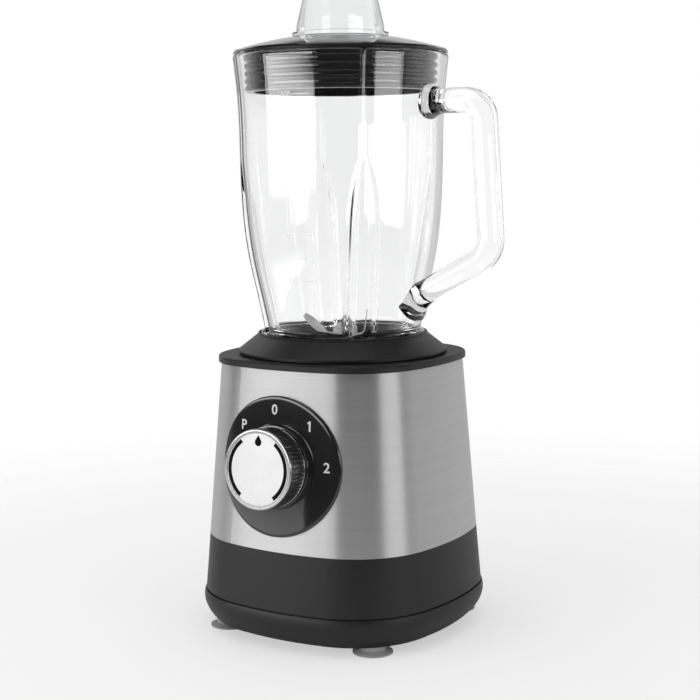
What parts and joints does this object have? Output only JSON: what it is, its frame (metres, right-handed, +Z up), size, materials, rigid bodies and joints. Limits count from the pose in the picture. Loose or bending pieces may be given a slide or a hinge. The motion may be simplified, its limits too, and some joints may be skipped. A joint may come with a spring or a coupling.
{
  "type": "countertop blender",
  "caption": "Countertop blender: tapered steel-clad motor base with a speed knob, fluted glass jug with handle, spout and blade unit, lid and measuring cup.",
  "frame": {"origin": "on the surface that the feet stand on, under the middle of the blender's overall width and depth", "axes": "+Z up along the motor and jug axis, -Y towards the user with the speed knob, +X towards the jug's handle"},
  "size_m": [0.1986, 0.1838, 0.4036],
  "materials": {
    "satin_black": "satin moulded",
    "brushed_steel": "brushed level",
    "gloss_black": "polished moulded",
    "grey_rubber": "matt",
    "black_rubber": "matt",
    "bright_chrome": "bright plated",
    "white_face": "smooth",
    "clear_glass": "clear",
    "clear_plastic": "clear",
    "blade_steel": "polished",
    "zinc_steel": "zinc plated",
    "housing_black": "moulded",
    "stack_steel": "varnished laminations",
    "copper": "lacquered wire",
    "bright_steel": "ground",
    "bronze": "plain",
    "carbon": "pressed carbon",
    "spring_steel": "plain",
    "cast_aluminium": "cast",
    "pale_plastic": "moulded",
    "wire_cover": "smooth"
  },
  "bodies": {
    "base": {"bottom_cover": "satin_black", "lower_skirt": "satin_black", "steel_shell": "brushed_steel", "top_cover": "satin_black", "tie_screws": "zinc_steel", "cord_gland": "black_rubber", "terminal_block": "pale_plastic", "switch_leads": "wire_cover", "motor_leads": "wire_cover", "dial_plate": "gloss_black", "rotary_switch": "housing_black", "switch_nut": "zinc_steel", "stator_core": "stack_steel", "field_coils": "copper", "upper_bracket": "cast_aluminium", "lower_bracket": "cast_aluminium", "upper_bearing": "bright_steel", "lower_bearing": "bright_steel", "brush_holders": "bronze", "carbon_brushes": "carbon", "brush_springs": "spring_steel", "motor_bolts": "zinc_steel", "motor_dampers": "black_rubber", "foot_front_left": "grey_rubber", "foot_front_right": "grey_rubber", "foot_rear_left": "grey_rubber", "foot_rear_right": "grey_rubber"},
    "knob": {"knob_body": "bright_chrome", "knob_face": "white_face", "switch_shaft": "cast_aluminium"},
    "rotor": {"motor_shaft": "bright_steel", "armature_core": "stack_steel", "armature_windings": "copper", "commutator": "copper", "cooling_fan": "pale_plastic", "drive_coupling": "housing_black"},
    "jug": {"glass_jug": "clear_glass", "jug_collar": "satin_black", "jug_seal": "black_rubber", "blade_housing": "housing_black", "upper_bush": "bronze", "lower_bush": "bronze", "shaft_seal": "black_rubber"},
    "blades": {"blade_shaft": "blade_steel", "lower_blade": "blade_steel", "blade_spacer": "blade_steel", "upper_blade": "blade_steel", "blade_nut": "blade_steel", "shaft_clip": "blade_steel", "driven_coupling": "housing_black"},
    "lid": {"lid": "gloss_black", "lid_gasket": "black_rubber"},
    "cup": {"measuring_cup": "clear_plastic"}
  },
  "joints": [
    {"name": "knob_turn", "type": "hinge", "parent": "base", "child": "knob", "pos_m": [-0.01431, -0.06885, 0.11343], "axis": [0, 0.9967, -0.081], "range_deg": [-45, 90]},
    {"name": "motor_spin", "type": "hinge", "parent": "base", "child": "rotor", "pos_m": [-0.01431, 0.00689, 0.0974], "axis": [0, 0, 1], "continuous": true},
    {"name": "jug_lift", "type": "slide", "parent": "base", "child": "jug", "axis": [0, 0, 1], "range_m": [0, 0.08]},
    {"name": "blade_spin", "type": "hinge", "parent": "jug", "child": "blades", "pos_m": [-0.01431, 0.00689, 0.175], "axis": [0, 0, 1], "continuous": true},
    {"name": "lid_lift", "type": "slide", "parent": "jug", "child": "lid", "axis": [0, 0, 1], "range_m": [0, 0.06]},
    {"name": "cup_lift", "type": "slide", "parent": "lid", "child": "cup", "axis": [0, 0, 1], "range_m": [0, 0.05]}
  ],
  "couplings": [
    {"joint": "blade_spin", "follows": "motor_spin", "ratio": 1}
  ]
}
